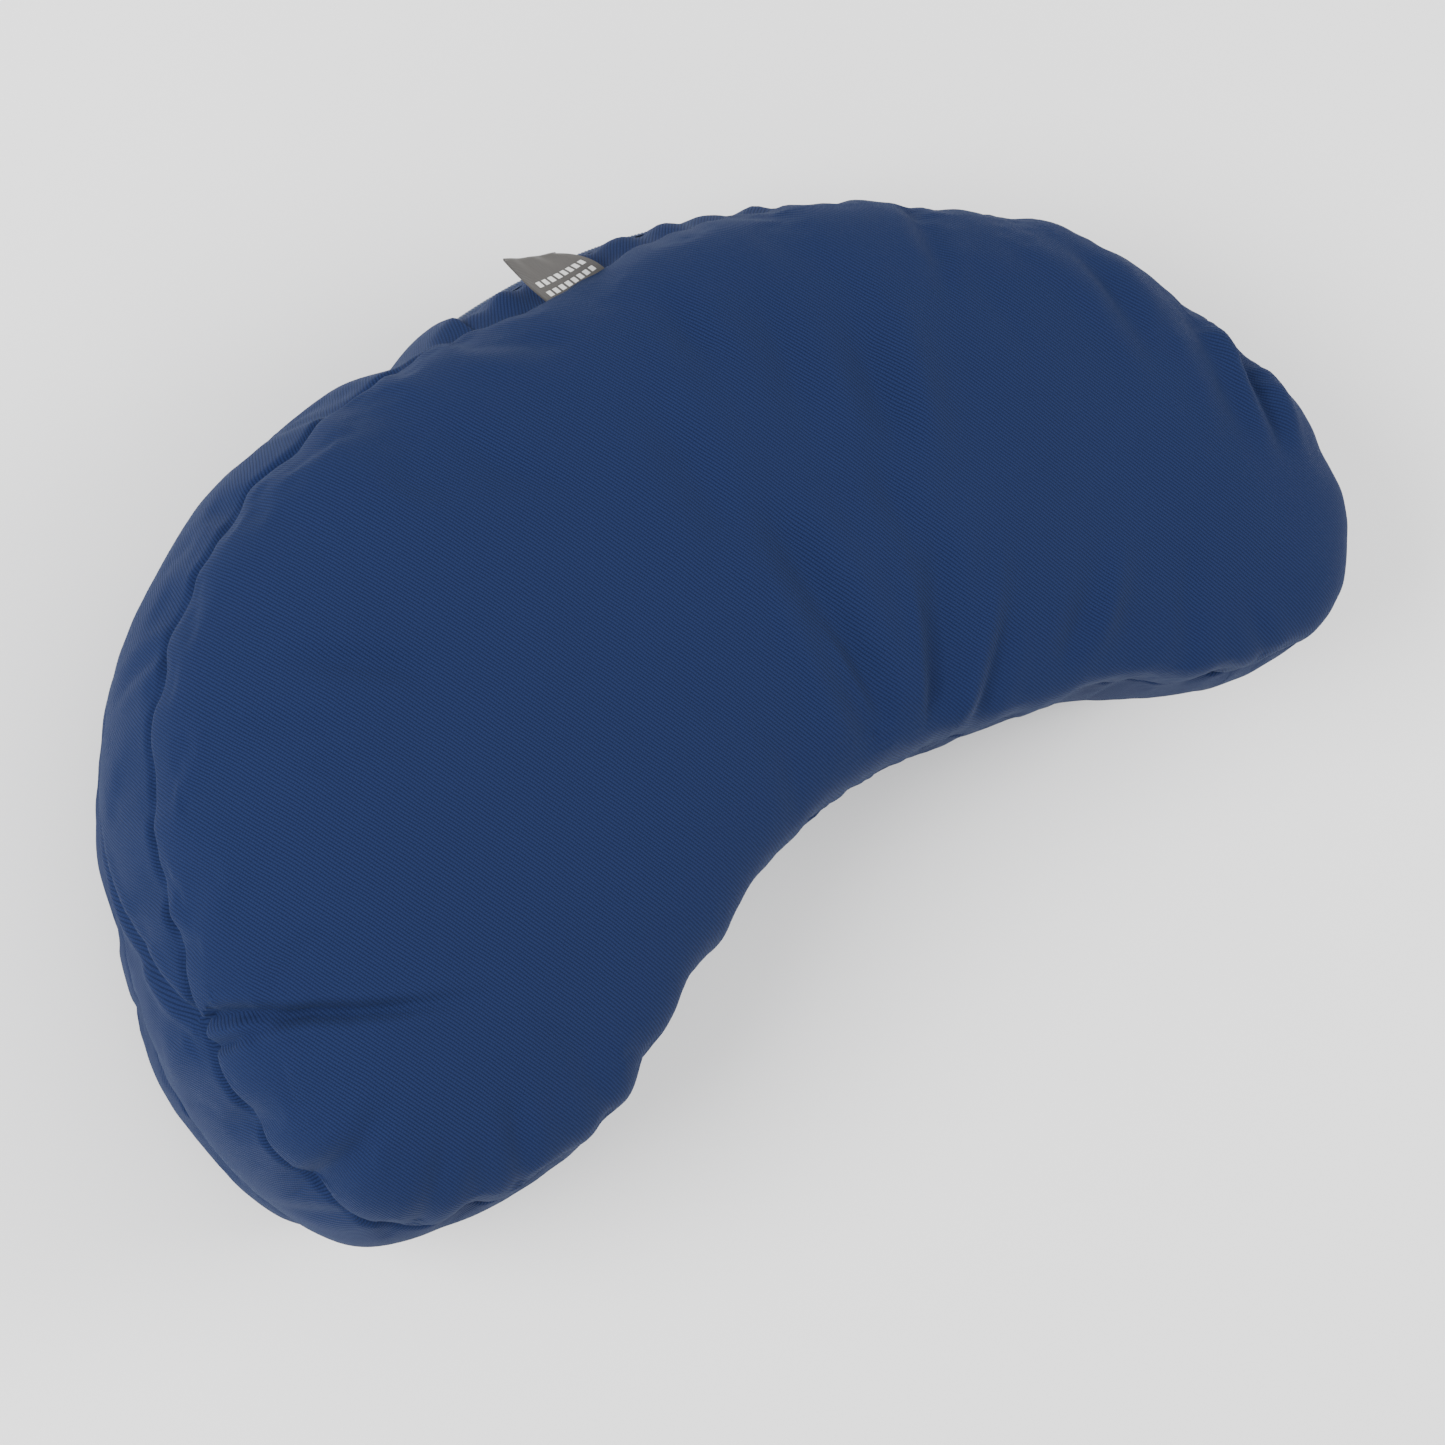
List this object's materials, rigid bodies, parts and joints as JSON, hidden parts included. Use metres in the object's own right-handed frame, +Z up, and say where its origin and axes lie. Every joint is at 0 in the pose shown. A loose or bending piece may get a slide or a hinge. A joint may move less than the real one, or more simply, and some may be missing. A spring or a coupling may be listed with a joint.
{
  "type": "lumbar support cushion",
  "caption": "Crescent-shaped support cushion: zipped navy twill cover with a side band over an inner bag filled with hulls.",
  "frame": {"origin": "on the flat underside, below the middle of the crescent's outline", "axes": "+Z up out of the crowned face; +X along the crescent's length, towards the end that is to the right when the long outer curve is uppermost; +Y across the middle, towards the long outer curve that carries the zip"},
  "size_m": [0.4262, 0.2527, 0.132],
  "materials": {
    "cover_twill": "matt cotton twill, navy blue, diagonal wales about 1 mm apart",
    "zip_tape": "woven polyester tape, navy blue",
    "zip_teeth": "satin nylon coil, navy blue",
    "zip_stops": "crimped plated metal",
    "zip_slider": "satin nickel plate",
    "label_ribbon": "woven satin ribbon, dark grey with a pale woven pattern",
    "liner_cotton": "unbleached plain-weave cotton",
    "buckwheat_hulls": "loose dry dark brown hulls"
  },
  "bodies": {
    "cushion": {"cover_top_panel": "cover_twill", "cover_bottom_panel": "cover_twill", "cover_band": "cover_twill", "zip_facing_upper": "cover_twill", "zip_facing_lower": "cover_twill", "zip_hood": "cover_twill", "side_label": "label_ribbon", "zip_tape_upper": "zip_tape", "zip_tape_lower": "zip_tape", "zip_teeth_upper": "zip_teeth", "zip_teeth_lower": "zip_teeth", "zip_top_stops": "zip_stops", "zip_bottom_stop": "zip_stops", "liner_top_panel": "liner_cotton", "liner_bottom_panel": "liner_cotton", "liner_band": "liner_cotton", "hull_filling": "buckwheat_hulls"},
    "slider": {"zip_slider": "zip_slider"},
    "pull_tab": {"zip_pull_tab": "zip_slider"}
  },
  "joints": [
    {"name": "zip_slider_travel", "type": "hinge", "parent": "cushion", "child": "slider", "pos_m": [0, -0.10387, 0.066], "axis": [0, 0, 1], "range_deg": [0, 64.5]},
    {"name": "pull_tab_swing", "type": "hinge", "parent": "slider", "child": "pull_tab", "pos_m": [0.19838, 0.00601, 0.066], "axis": [0, 0, 1], "range_deg": [0, 150]}
  ]
}
